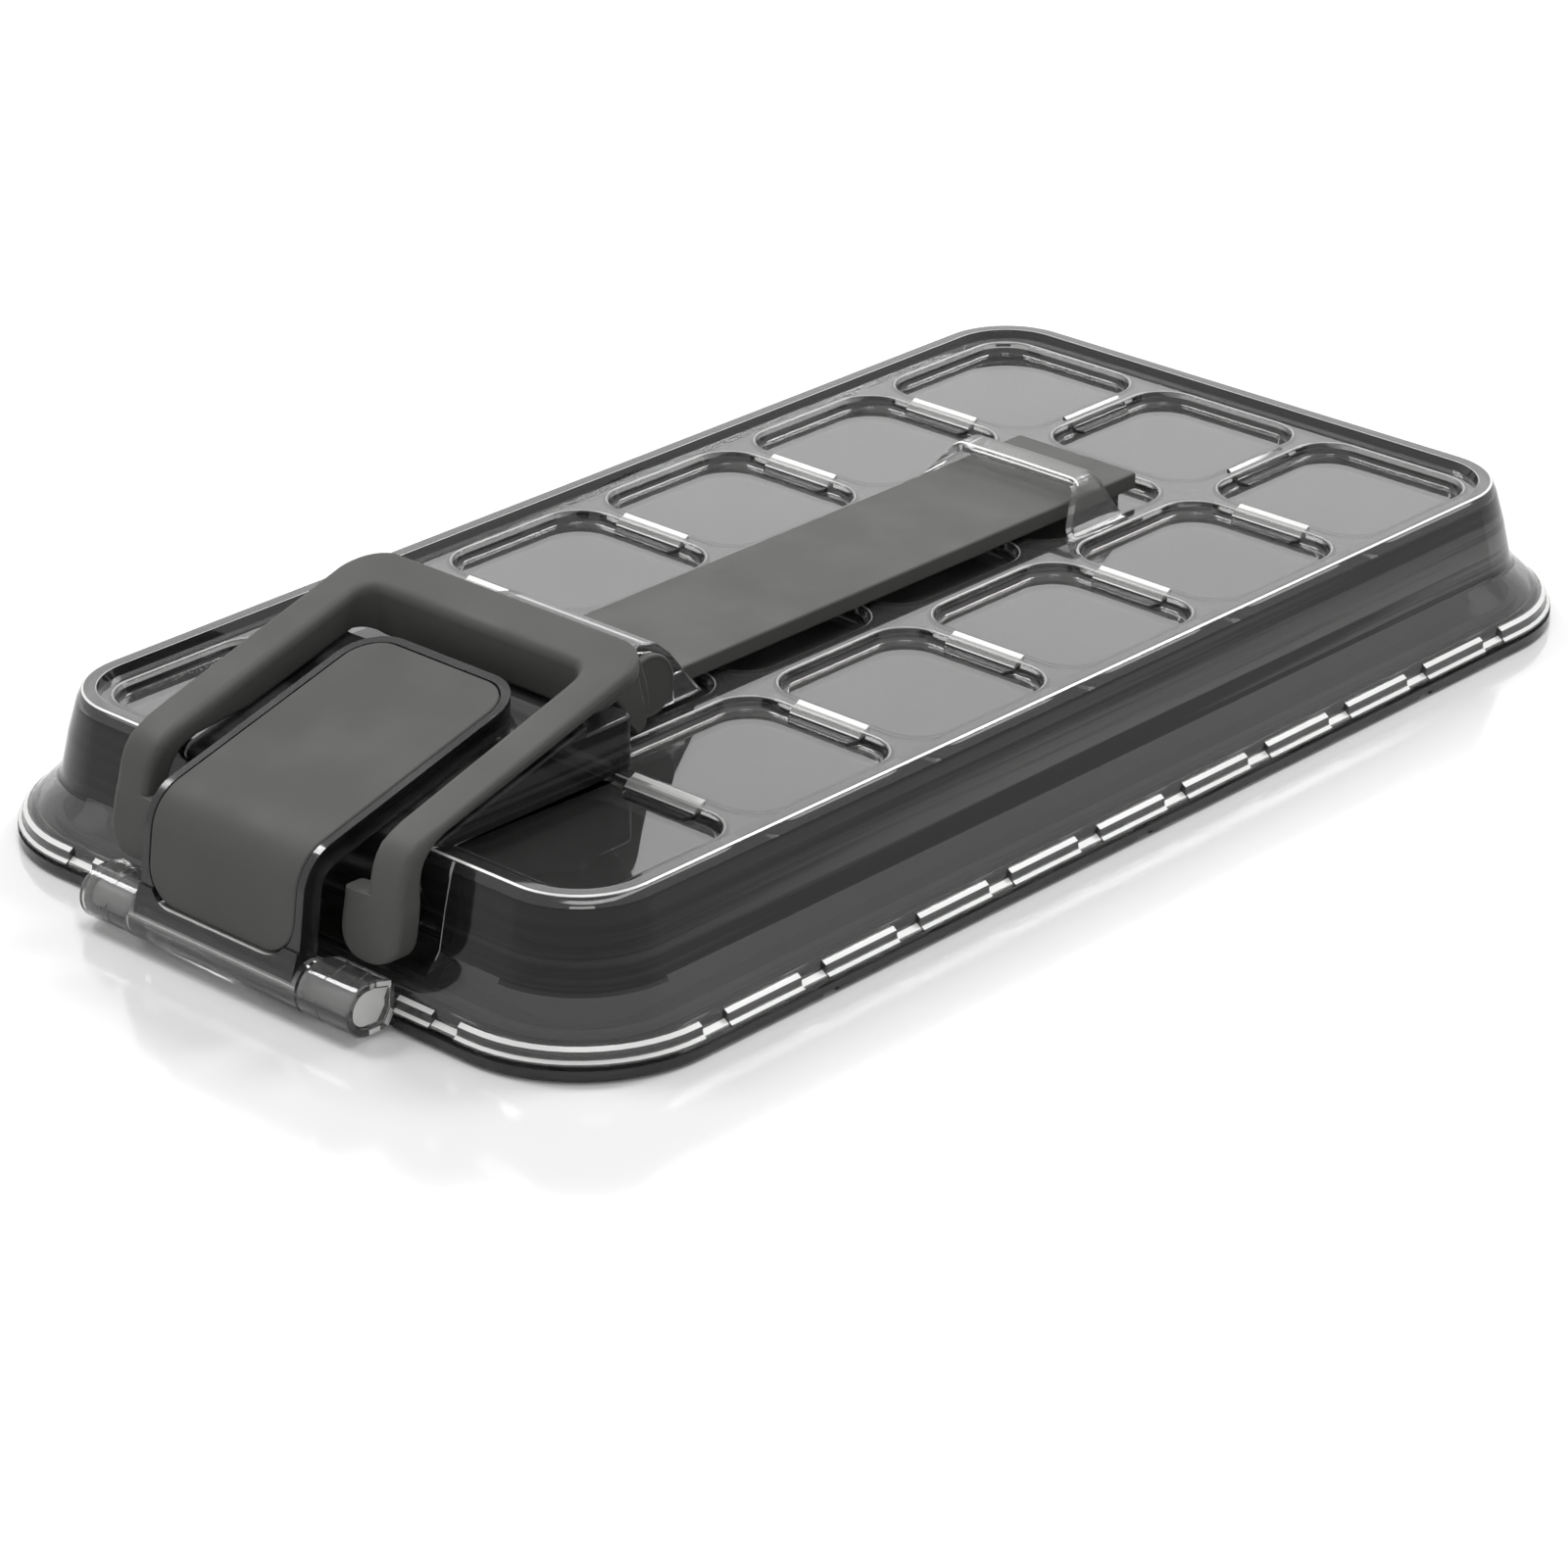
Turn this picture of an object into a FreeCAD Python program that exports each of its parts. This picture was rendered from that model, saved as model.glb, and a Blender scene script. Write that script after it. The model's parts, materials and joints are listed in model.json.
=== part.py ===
import FreeCAD, Part
import os
import math

# Lever ice cube tray. +X is to the right, -Y is the spout end, +Z is up.
# The origin is on the table, under the centre of the 3 by 6 field of cells.
doc = FreeCAD.newDocument("lever_ice_tray")
V = FreeCAD.Vector

# Driving dimensions, all in mm.
sizes = [
    ("cell_pitch", 42.0),      # spacing of the cells both ways
    ("column_count", 3),
    ("row_count", 6),
    ("corner_x", 52.0),        # centres of the rounded outer corners
    ("corner_y", 115.4),
    ("base_reach", 27.9),      # outline beyond the corner centres, at the table
    ("base_plate", 2.2),
    ("wall", 1.9),
    ("ridge_top", 26.46),      # the plane between the pockets
    ("slab_under", 20.8),      # underside of the cover's top
    ("pocket_floor", 22.4),
    ("pocket_half", 19.1),     # half width of a pocket at the ridge plane
    ("lip_top", 28.3),
    ("lip_inner", 11.6),       # inner edge of the raised border
    ("grid_under", 2.3),
    ("grid_top", 19.5),
    ("cell_half", 19.2),
    ("hump_half", 31.0),
    ("hump_rear", -80.5),
    ("hump_front", -131.5),
    ("hump_drop", 5.0),        # its top below the lid's outer face
    ("recess_half", 37.2),
    ("recess_floor", 8.6),
    ("pivot_y", -65.6),        # the lever's axle
    ("pivot_z", 33.0),
    ("axle_radius", 1.9),
    ("running_gap", 0.05),     # radial clearance of the turning fits
    ("cam_radius", 4.2),
    ("cam_throw", 2.04),
    ("cam_start", -42.5),      # angle of the cam's centre at rest, from +Y towards +Z
    ("bar_half", 14.9),
    ("bar_top", 31.0),
    ("bar_thick", 3.4),
    ("bar_end", 75.4),
    ("bar_travel", 3.0),
    ("arm_outer", 35.8),
    ("arm_inner", 27.4),
    ("lever_slope", 0.295),    # fall of the lever's top face towards the spout
    ("lever_high", 45.3),      # its height at lever_ref
    ("lever_ref", -94.0),
    ("hinge_y", -148.1),       # the spout lid's hinge
    ("hinge_z", 5.2),
    ("knuckle_radius", 4.9),
    ("knuckle_split", 21.3),   # where the lid's knuckle meets the cover's
    ("hinge_half", 34.0),
    ("pin_radius", 1.5),
    ("lid_half", 20.0),
    ("lid_rear", -95.0),
    ("lid_high", 42.3),
    ("lid_slope", 0.27),
    ("lid_bend", 9.0),
    ("lid_thick", 2.6),
    ("pad_thick", 1.3),
    ("pad_inset", 1.6),
    ("pad_foot", 9.6),         # lower end of the pad, on the front face
]
sheet = doc.addObject("Spreadsheet::Sheet", "Sizes")
for row, (alias, value) in enumerate(sizes, start=1):
    sheet.set("A%d" % row, alias)
    sheet.set("B%d" % row, str(value))
    sheet.setAlias("B%d" % row, alias)
doc.recompute()


def size(alias):
    return float(getattr(sheet, alias))


# Helpers.
def poly_face(points):
    return Part.Face(Part.makePolygon([V(*p) for p in points] + [V(*points[0])]))


def box(x0, x1, y0, y1, z0, z1):
    return Part.makeBox(x1 - x0, y1 - y0, z1 - z0, V(x0, y0, z0))


def slice_yz(points, x0, x1):
    """A side view outline (y, z), drawn out along X."""
    return poly_face([(x0, y, z) for y, z in points]).extrude(V(x1 - x0, 0, 0))


def rod_x(radius, x0, x1, y, z):
    return Part.makeCylinder(radius, x1 - x0, V(x0, y, z), V(1, 0, 0))


def rounded(hx, hy, r, z, cx=0.0, cy=0.0):
    """A rounded rectangle wire at height z, always started at the same corner."""
    k = r * math.sqrt(0.5)
    edges = []
    corners = [(1, 1), (-1, 1), (-1, -1), (1, -1)]
    start = [V(hx, hy - r, z), V(-hx + r, hy, z), V(-hx, -hy + r, z), V(hx - r, -hy, z)]
    end = [V(hx - r, hy, z), V(-hx, hy - r, z), V(-hx + r, -hy, z), V(hx, -hy + r, z)]
    for i, (sx, sy) in enumerate(corners):
        mid = V(sx * (hx - r) + sx * k, sy * (hy - r) + sy * k, z)
        edges.append(Part.Arc(start[i], mid, end[i]).toShape())
        edges.append(Part.makeLine(end[i], start[(i + 1) % 4]))
    wire = Part.Wire(edges)
    wire.translate(V(cx, cy, 0))
    return wire


def front_view(hx, hz, r, y, depth):
    """A rounded rectangle seen from the front, drawn out from y towards -Y."""
    face = Part.Face(rounded(hx, hz, r, 0.0))
    face.rotate(V(0, 0, 0), V(1, 0, 0), 90)
    face.translate(V(0, y, 0))
    return face.extrude(V(0, -depth, 0))


def ring_wire(reach, z):
    """The tray's outline, reach beyond its corner centres."""
    return rounded(size("corner_x") + reach, size("corner_y") + reach, reach, z)


def stack(wires):
    return Part.makeLoft(wires, True, True)


def plate(reach, z0, z1):
    return Part.Face(ring_wire(reach, z0)).extrude(V(0, 0, z1 - z0))


def finish(label, shape, parts=1):
    """Adds one sub-part, after checking that it is a sound solid."""
    shape = shape.removeSplitter()
    if not shape.isValid():
        shape.fix(1e-4, 1e-4, 1e-3)
    if len(shape.Solids) != parts or not shape.isValid() or shape.Volume <= 0:
        raise ValueError("%s: %d solids, valid %s" % (label, len(shape.Solids), shape.isValid()))
    if parts == 1:
        shape = shape.Solids[0]
    obj = doc.addObject("Part::Feature", label)
    obj.Label = label
    obj.Shape = shape
    obj.Placement = FreeCAD.Placement()
    return obj


def columns():
    n = int(size("column_count"))
    return [(i - (n - 1) / 2.0) * size("cell_pitch") for i in range(n)]


def rows():
    n = int(size("row_count"))
    return [(i - (n - 1) / 2.0) * size("cell_pitch") for i in range(n)]


def lever_top(y):
    return size("lever_high") + size("lever_slope") * (y - size("lever_ref"))


def lid_top(y):
    return size("lid_high") + size("lid_slope") * (y - size("lid_rear"))


# Base tray, cell grid and seal.
def base_tray():
    reach = size("base_reach")
    top = size("base_plate")
    body = stack([ring_wire(reach - 0.5, 0.0), ring_wire(reach, 0.5), ring_wire(reach, top)])
    # A rib that centres the cover's flange.
    rib = plate(22.6, top - 0.2, top + 1.6).cut(plate(21.2, top - 1.0, top + 3.0))
    body = body.fuse(rib)
    # Room for the lid hinge, which hangs in front of the plate.
    room = size("hinge_half") + 0.6
    body = body.cut(box(-room, room, -160.0, -142.4, -1.0, 10.0))
    # Small drain notches under the edge.
    for y in (-84.0, 0.0, 84.0):
        for side in (-1, 1):
            edge = side * (size("corner_x") + reach)
            body = body.cut(box(edge - 1.2, edge + 1.2, y - 2.0, y + 2.0, -1.0, 0.9))
    return body


def cell_grid():
    low = size("grid_under")
    high = size("grid_top")
    half = size("cell_half")
    body = plate(11.6, low, high)
    for x in columns():
        for y in rows():
            cell = stack([
                rounded(half - 1.2, half - 1.2, 5.0, low - 0.1, x, y),
                rounded(half, half, 6.2, high + 0.1, x, y),
            ])
            body = body.cut(cell)
    return body


def perimeter_seal():
    z0 = size("base_plate")
    outer = plate(20.9, z0, z0 + 3.0)
    return outer.cut(plate(19.3, z0 - 1.0, z0 + 4.0))


# The cover's outside, as height above the table and reach beyond the corner
# centres: raised border, drafted wall, flare and flange.
lip_top = size("lip_top")
outside = [
    (lip_top, 15.0), (lip_top - 0.9, 15.7), (lip_top - 2.1, 16.2), (20.0, 17.9), (12.6, 19.5),
    (11.0, 20.7), (8.8, 22.9), (6.4, 25.3), (5.2, 26.1), (2.5, 26.1),
]
# The inside stays a wall's thickness behind it.
inside = [(20.8, 15.8), (12.4, 17.6), (9.9, 19.0), (7.2, 21.7), (5.4, 23.4), (2.4, 23.4)]


def hump_side(drop, rear, front, low):
    """Side view of the spout's hump, drop below the lid's outer face."""
    return [
        (rear, low),
        (rear, lid_top(rear) - drop),
        (front, lid_top(front) - drop),
        (front, low),
    ]


def pocket(x, y):
    half = size("pocket_half")
    floor = size("pocket_floor")
    top = size("ridge_top")
    return stack([
        rounded(half - 2.6, half - 2.6, 5.0, floor, x, y),
        rounded(half - 1.5, half - 1.5, 6.1, floor + 0.6, x, y),
        rounded(half - 0.4, half - 0.4, 7.2, top - 0.5, x, y),
        rounded(half + 0.1, half + 0.1, 7.7, top + 0.01, x, y),
    ])


def water_step(x, y, across=False):
    """A chamfered step where water runs over a ridge into the next cell."""
    top = size("ridge_top")
    half = 8.25
    body = slice_yz([
        (0.6, top - 1.0), (0.6, top + 0.35), (0.2, top + 0.8), (-2.6, top - 0.3),
        (-2.6, top - 1.4), (-4.4, top - 2.0), (-4.4, top - 4.2), (0.6, top - 4.2),
    ], -half, half)
    if across:
        body.rotate(V(0, 0, 0), V(0, 0, 1), 90)
    body.translate(V(x, y, 0))
    return body


def cover_shell():
    top = size("ridge_top")
    wall = size("wall")
    front = size("hump_front")
    half = size("recess_half")
    floor = size("recess_floor")
    outer = stack([ring_wire(r, z) for z, r in outside])
    hollow = stack([ring_wire(r, z) for z, r in inside])
    # The recess in the front wall, where the lever's arms hang.
    outer = outer.cut(box(-half, half, -160.0, front, floor, 60.0))
    hollow = hollow.cut(box(-half - wall, half + wall, -160.0, front + wall, floor - wall, 60.0))
    body = outer.cut(hollow)
    body = body.cut(plate(size("lip_inner"), top, 60.0))
    pitch = size("cell_pitch")
    cut = []
    for x in columns():
        for y in rows():
            if x == 0.0 and y < -2.0 * pitch:
                continue
            cut.append(pocket(x, y))
    body = body.cut(cut)
    # The hump that carries the spout, under the lever.
    hump_half = size("hump_half")
    rear = size("hump_rear")
    under = size("slab_under")
    hump = slice_yz(hump_side(size("hump_drop"), rear, front, under), -hump_half, hump_half)
    upright = [e for e in hump.Edges if abs(e.Length) > 5.0 and e.BoundBox.XLength < 0.01
               and e.BoundBox.YLength < 0.01]
    hump = hump.makeFillet(2.5, [e for e in upright if abs(e.Vertexes[0].Point.y - rear) < 0.1])
    throat = slice_yz(hump_side(size("hump_drop") + wall, rear - wall, front + wall, under - 1.0),
                      wall - hump_half, hump_half - wall)
    # Step in the hump's top, for the lever's deep cross bar.
    step = box(-26.8, 26.8, -92.6, rear + 5.0, 36.4, 60.0)
    low = box(-26.8 - wall, 26.8 + wall, -92.6 - wall, rear + 5.0, 36.4 - wall, 60.0)
    steps = []
    for y in rows()[1:]:
        for x in (columns()[0], columns()[2]):
            steps.append(water_step(x, y - pitch / 2.0))
    for x in (-pitch / 2.0, pitch / 2.0):
        steps.append(water_step(x, rows()[-1], True))
    body = body.fuse(steps + [hump])
    # The raised border stops at the hump.
    above = hump_side(size("hump_drop"), -120.0, -140.0, 60.0)
    body = body.cut(slice_yz(above, -hump_half, hump_half))
    body = body.cut(throat.cut(low)).cut(step)
    # The spout's mouth, under the lid.
    body = body.cut(box(-15.5, 15.5, -127.0, -100.0, 24.0, 60.0))
    # The rib in a middle pocket that the draw bar's hook pulls on.
    rib = box(-11.0, 11.0, 66.0, 68.0, size("pocket_floor") - 0.3, top + 0.3)
    # Shelf from the recess floor to the hinge knuckles.
    shelf = box(-half, half, -142.8, front + 1.0, floor - 1.9, floor)
    return body.fuse([rib, shelf])


def rim_rail():
    """The beaded rail round the flange: full blocks with slim links between."""
    blocks = plate(27.7, 2.9, 5.0).cut(plate(26.1, 2.0, 6.0))
    links = plate(27.0, 2.9, 4.0).cut(plate(26.1, 2.0, 6.0))
    room = size("hinge_half") + 0.4
    gap = box(-room, room, -160.0, -140.0, 0.0, 10.0)
    step = 24.2
    cuts = []
    for i in range(-5, 6):
        y = -14.6 + step * i
        cuts.append(box(-100.0, 100.0, y - 3.0, y + 3.0, 0.0, 10.0))
    for i in (-1, 0, 1):
        cuts.append(box(step * i + 9.1, step * i + 15.1, 120.0, 160.0, 0.0, 10.0))
    for x in (-46.0, 46.0):
        cuts.append(box(x - 3.0, x + 3.0, -160.0, -120.0, 0.0, 10.0))
    return blocks.cut(cuts).fuse(links).cut(gap)


def far_bridge():
    top = size("ridge_top")
    foot = rounded(22.0, 8.6, 1.6, top, 0.0, 56.5)
    waist = rounded(18.0, 6.2, 1.6, top + 5.2, 0.0, 58.0)
    crown = rounded(15.4, 3.2, 1.4, top + 8.8, 0.0, 59.6)
    body = stack([foot, waist, crown])
    clear = size("bar_half") + 0.4
    return body.cut(box(-clear, clear, 30.0, 90.0, 20.0, size("bar_top") + 0.5))


def pivot_housing():
    top = size("ridge_top")
    outer = slice_yz([
        (-49.8, top), (-54.8, 32.4), (-58.2, 36.6), (-61.6, 39.6), (-66.0, 40.6),
        (-71.0, 39.4), (-74.8, 36.2), (-76.2, 32.0), (-76.2, top),
    ], -18.0, 18.0)
    inner = slice_yz([
        (-56.6, 20.0), (-56.6, 32.2), (-59.4, 35.8), (-62.4, 38.0), (-66.0, 38.9),
        (-70.2, 37.9), (-73.2, 35.2), (-74.6, 31.6), (-74.6, 20.0),
    ], -16.3, 16.3)
    clear = size("bar_half") + 0.4
    body = outer.cut(inner)
    body = body.cut(box(-clear, clear, -60.0, -45.0, 20.0, size("bar_top") + 0.5))
    hole = size("axle_radius") + size("running_gap")
    return body.cut(rod_x(hole, -30.0, 30.0, size("pivot_y"), size("pivot_z")))


def spout_collar():
    """A soft collar round the spout's mouth, following the hump's slope."""
    outer = slice_yz([
        (y, lid_top(y) - size("hump_drop") + rise) for y, rise in
        ((-129.0, 0.0), (-98.0, 0.0), (-98.0, 0.9), (-129.0, 0.9))
    ], -17.5, 17.5)
    return outer.cut(box(-15.5, 15.5, -127.0, -100.0, 20.0, 60.0))


def hinge_knuckle(side):
    y = size("hinge_y")
    z = size("hinge_z")
    r = size("knuckle_radius")
    x0 = size("knuckle_split")
    x1 = size("hinge_half")
    body = rod_x(r, x0, x1, y, z)
    shelf = size("recess_floor") - 1.9
    web = slice_yz([
        (y, z - r), (y + 5.0, z - r), (y + 5.0, 2.6), (-141.7, 2.6), (-141.7, shelf),
        (-142.8, shelf), (-142.8, z + r), (y, z + r),
    ], x0, x1)
    body = body.fuse(web).cut(rod_x(size("pin_radius"), x0 - 5.0, x1 - 1.6, y, z))
    # The end is dished behind a thin rim.
    body = body.cut(rod_x(r - 1.2, x1 - 0.7, x1 + 1.0, y, z))
    if side < 0:
        body = body.mirror(V(0, 0, 0), V(1, 0, 0))
    return body


# Lever and draw bar.
def arm_side():
    """Side view of an arm: top face, bend over the front and hanging foot."""
    return [
        (-79.7, lever_top(-79.7)), (-135.2, lever_top(-135.2)), (-138.2, 31.6),
        (-140.3, 29.4), (-141.5, 26.6), (-142.3, 22.0), (-143.8, 16.0), (-144.4, 11.4),
        (-139.6, 11.4), (-138.0, 16.0), (-137.0, 22.0), (-136.0, 26.0), (-133.6, 28.6),
        (-129.0, 30.4), (-122.0, 31.9), (-117.0, 32.7), (-93.5, lever_top(-93.5) - 5.4),
        (-79.7, lever_top(-79.7) - 5.4),
    ]


def lever_frame():
    outer = size("arm_outer")
    inner = size("arm_inner")
    body = None
    for side in (-1, 1):
        arm = slice_yz(arm_side(), inner, outer)
        foot = slice_yz([
            (-142.3, 22.4), (-143.8, 16.0), (-144.4, 11.4), (-139.6, 11.4), (-138.0, 16.0),
            (-137.0, 22.4),
        ], 22.0, inner + 1.0)
        arm = arm.fuse(foot)
        # Leg from the cross bar down to the pivot disc.
        leg = slice_yz([
            (-84.0, 44.0), (-79.7, lever_top(-79.7)), (-72.0, 41.5), (-66.0, 39.0),
            (-60.6, 36.4), (-59.6, 33.0), (-61.6, 28.6), (-65.6, 27.3), (-73.0, 27.9),
            (-77.0, 30.0), (-79.2, 34.0), (-79.6, 40.0),
        ], 20.4, 26.2)
        arm = arm.fuse(leg)
        if side < 0:
            arm = arm.mirror(V(0, 0, 0), V(1, 0, 0))
        body = arm if body is None else body.fuse(arm)
    bar = slice_yz([
        (-88.6, lever_top(-88.6)), (-79.7, lever_top(-79.7)), (-79.7, 44.0),
        (-81.6, 37.2), (-88.6, 37.2),
    ], -26.2, 26.2)
    ends = slice_yz([
        (-88.6, lever_top(-88.6)), (-79.7, lever_top(-79.7)),
        (-79.7, lever_top(-79.7) - 5.4), (-88.6, lever_top(-88.6) - 5.4),
    ], -outer, outer)
    body = body.fuse([bar, ends])
    # The rear corners are rounded in plan.
    plan = Part.Face(rounded(outer, 60.0, 8.0, 0.0, 0.0, -139.7)).extrude(V(0, 0, 60.0))
    rear = box(-60.0, 60.0, -90.0, -79.7, 36.9, 60.0).cut(plan)
    body = body.cut(rear)
    # The feet are rounded at their lower corners.
    mask = front_view(size("arm_outer") / 2.0 - 11.0, 30.0, 5.0, -120.0, 60.0)
    mask.translate(V(size("arm_outer") / 2.0 + 11.0, 0, 41.4))
    zone = box(-60.0, 60.0, -160.0, -130.0, 0.0, 20.0)
    body = body.cut(zone.cut([mask, mask.mirror(V(0, 0, 0), V(1, 0, 0))]))
    hole = size("axle_radius")
    return body.cut(rod_x(hole, -24.5, 24.5, size("pivot_y"), size("pivot_z")))


def draw_bar():
    half = size("bar_half")
    top = size("bar_top")
    under = top - size("bar_thick")
    return box(-half, half, -57.2, size("bar_end"), under, top)


def bar_yoke():
    """The loop at the bar's near end, in which the cam turns."""
    y = size("pivot_y") + size("bar_travel") / 2.0
    low = size("pivot_z") - size("cam_throw")
    high = size("pivot_z") - 0.68 * size("cam_throw")
    gap = size("cam_radius") + 0.3
    wall = 1.3
    rings = []
    for radius, reach in ((gap + wall, 12.5), (gap, 20.0)):
        tall = box(-reach, reach, y - radius, y + radius, low, high)
        rings.append(tall.fuse([rod_x(radius, -reach, reach, y, z) for z in (low, high)]))
    under = size("bar_top") - size("bar_thick")
    link = box(-12.5, 12.5, y + 3.0, -57.2, under, size("bar_top"))
    return rings[0].fuse(link).cut(rings[1])


def bar_hook():
    under = size("bar_top") - size("bar_thick")
    end = size("bar_end")
    return box(-10.5, 10.5, end - 4.0, end, 23.4, under)


# Spout lid.
def lid_outline(depth):
    """The lid's side view, depth below its outer face: two lines and a bend."""
    run = V(-1, -size("lid_slope"), 0).normalize()
    fall = V(-1.6, -11.0, 0).normalize()
    first = V(size("lid_rear"), size("lid_high"), 0)
    last = V(-150.9, 9.0, 0)
    turn = first + run * ((last - first).cross(fall).z / run.cross(fall).z)
    half = run.getAngle(fall) / 2.0
    reach = size("lid_bend") * math.tan(half)
    bisect = (fall - run).normalize()
    centre = turn + bisect * (size("lid_bend") / math.cos(half))
    radius = size("lid_bend") - depth
    a = turn - run * reach
    b = turn + fall * reach
    shift_run = (centre - a).normalize() * depth
    shift_fall = (centre - b).normalize() * depth
    middle = centre + (turn - centre).normalize() * radius
    return first + shift_run, a + shift_run, middle, b + shift_fall, last + shift_fall


def lid_band(outer, inner, x0, x1):
    """A sheet of the lid between two depths."""
    o = [V(x0, p.x, p.y) for p in lid_outline(outer)]
    i = [V(x0, p.x, p.y) for p in lid_outline(inner)]
    edges = [
        Part.makeLine(o[0], o[1]), Part.Arc(o[1], o[2], o[3]).toShape(), Part.makeLine(o[3], o[4]),
        Part.makeLine(o[4], i[4]),
        Part.makeLine(i[4], i[3]), Part.Arc(i[3], i[2], i[1]).toShape(), Part.makeLine(i[1], i[0]),
        Part.makeLine(i[0], o[0]),
    ]
    return Part.Face(Part.Wire(edges)).extrude(V(x1 - x0, 0, 0))


def lid_mask(half, rear, radius, foot=None):
    """A column with rounded rear corners in plan and, if asked, rounded lower ones."""
    long = 40.0
    mask = Part.Face(rounded(half, long, radius, 0.0, 0.0, rear - long)).extrude(V(0, 0, 60.0))
    if foot is None:
        return mask
    front = front_view(half, 30.0, radius, -80.0, 90.0)
    front.translate(V(0, 0, foot + 30.0))
    return mask.common(front)


def lid_frame():
    half = size("lid_half")
    rear = size("lid_rear")
    thick = size("lid_thick")
    sheet_part = lid_band(0.0, thick, -half, half)
    skirts = lid_band(thick - 0.1, 4.1, -half, half).cut(lid_band(0.0, 6.0, -half + 1.7, half - 1.7))
    body = sheet_part.fuse(skirts).common(lid_mask(half, rear, 8.5))
    split = size("knuckle_split") - 0.3
    y = size("hinge_y")
    z = size("hinge_z")
    knuckle = rod_x(size("knuckle_radius"), -split, split, y, z)
    apron = slice_yz([(-151.0, 12.0), (-152.6, z + 2.0), (y, z), (-147.9, 12.0)], -half, half)
    body = body.fuse([knuckle, apron])
    inset = size("pad_inset")
    seat = lid_band(-3.0, size("pad_thick"), -half, half)
    body = body.cut(seat.common(lid_mask(half - inset, rear - inset, 7.0, size("pad_foot"))))
    hole = size("pin_radius") + size("running_gap")
    return body.cut(rod_x(hole, -40.0, 40.0, y, z))


def lid_pad():
    half = size("lid_half")
    inset = size("pad_inset") + 0.25
    body = lid_band(-0.15, size("pad_thick"), -half, half)
    return body.common(lid_mask(half - inset, size("lid_rear") - inset, 6.8, size("pad_foot") + 0.25))


def lid_gasket():
    """The lid's sealing ring, pressed on the collar when the lid is shut."""
    outer = lid_band(size("lid_thick"), size("lid_thick") + 0.9, -17.2, 17.2)
    outer = outer.common(box(-17.2, 17.2, -128.6, -98.4, 20.0, 60.0))
    return outer.cut(box(-15.2, 15.2, -126.6, -100.4, 20.0, 60.0))


finish("base_tray", base_tray())
finish("cell_grid", cell_grid())
finish("perimeter_seal", perimeter_seal())
finish("cover_shell", cover_shell())
finish("rim_rail", rim_rail())
finish("far_bridge", far_bridge())
finish("pivot_housing", pivot_housing())
finish("spout_collar", spout_collar())
finish("hinge_knuckle_right", hinge_knuckle(1))
finish("hinge_knuckle_left", hinge_knuckle(-1))
finish("lever_frame", lever_frame())
finish("draw_bar", draw_bar())
finish("bar_yoke", bar_yoke())
finish("bar_hook", bar_hook())
finish("lid_frame", lid_frame())
finish("lid_pad", lid_pad())
finish("lid_gasket", lid_gasket())


# Turned parts, bound to the sheet.
def cylinder(label, radius, length, x, y, z):
    """A cylinder along X whose sizes and place are formulas of the sheet."""
    obj = doc.addObject("Part::Cylinder", label)
    obj.Label = label
    obj.setExpression("Radius", radius)
    obj.setExpression("Height", length)
    obj.Placement = FreeCAD.Placement(V(0, 0, 0), FreeCAD.Rotation(V(0, 1, 0), 90))
    obj.setExpression(".Placement.Base.x", x)
    obj.setExpression(".Placement.Base.y", y)
    obj.setExpression(".Placement.Base.z", z)
    return obj


cylinder("lever_axle", "Sizes.axle_radius", "49", "-24.5", "Sizes.pivot_y", "Sizes.pivot_z")
cylinder("lid_pin", "Sizes.pin_radius", "2 * Sizes.hinge_half - 3.2", "1.6 - Sizes.hinge_half",
         "Sizes.hinge_y", "Sizes.hinge_z")
cam_y = "Sizes.pivot_y + Sizes.cam_throw * cos(Sizes.cam_start)"
cam_z = "Sizes.pivot_z + Sizes.cam_throw * sin(Sizes.cam_start)"
cylinder("cam_body", "Sizes.cam_radius", "30", "-15", cam_y, cam_z)
cylinder("cam_bore", "Sizes.axle_radius", "40", "-20", "Sizes.pivot_y", "Sizes.pivot_z")
cam = doc.addObject("Part::Cut", "lever_cam")
cam.Label = "lever_cam"
cam.Base = doc.getObject("cam_body")
cam.Tool = doc.getObject("cam_bore")
for side, name in ((1, "right"), (-1, "left")):
    x = 18.4 if side > 0 else -20.4
    cylinder("disc_body_" + name, "6.1", "2", str(x), "Sizes.pivot_y", "Sizes.pivot_z")
    cylinder("disc_bore_" + name, "Sizes.axle_radius", "4", str(x - 1), "Sizes.pivot_y", "Sizes.pivot_z")
    disc = doc.addObject("Part::Cut", "pivot_disc_" + name)
    disc.Label = "pivot_disc_" + name
    disc.Base = doc.getObject("disc_body_" + name)
    disc.Tool = doc.getObject("disc_bore_" + name)
doc.recompute()

nodes = [
    "base_tray", "cell_grid", "perimeter_seal", "cover_shell", "rim_rail", "far_bridge",
    "pivot_housing", "spout_collar", "hinge_knuckle_right", "hinge_knuckle_left", "lid_pin",
    "lever_frame", "lever_axle", "lever_cam", "pivot_disc_right", "pivot_disc_left",
    "draw_bar", "bar_yoke", "bar_hook", "lid_frame", "lid_pad", "lid_gasket",
]
for obj in doc.Objects:
    if "Invalid" in obj.State or "Error" in obj.State:
        raise ValueError("bad object " + obj.Name)
os.makedirs("parts", exist_ok=True)
for name in nodes:
    shape = doc.getObject(name).Shape
    if shape.isNull() or not shape.isValid() or not shape.Solids:
        raise ValueError("bad shape " + name)
    bound = shape.BoundBox
    print("%-20s %8.0f mm3  x %6.1f %6.1f  y %7.1f %6.1f  z %5.1f %5.1f" % (
        name, shape.Volume, bound.XMin, bound.XMax, bound.YMin, bound.YMax, bound.ZMin, bound.ZMax))
    shape.exportStep("parts/" + name + ".step")
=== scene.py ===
import json
import math

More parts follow.
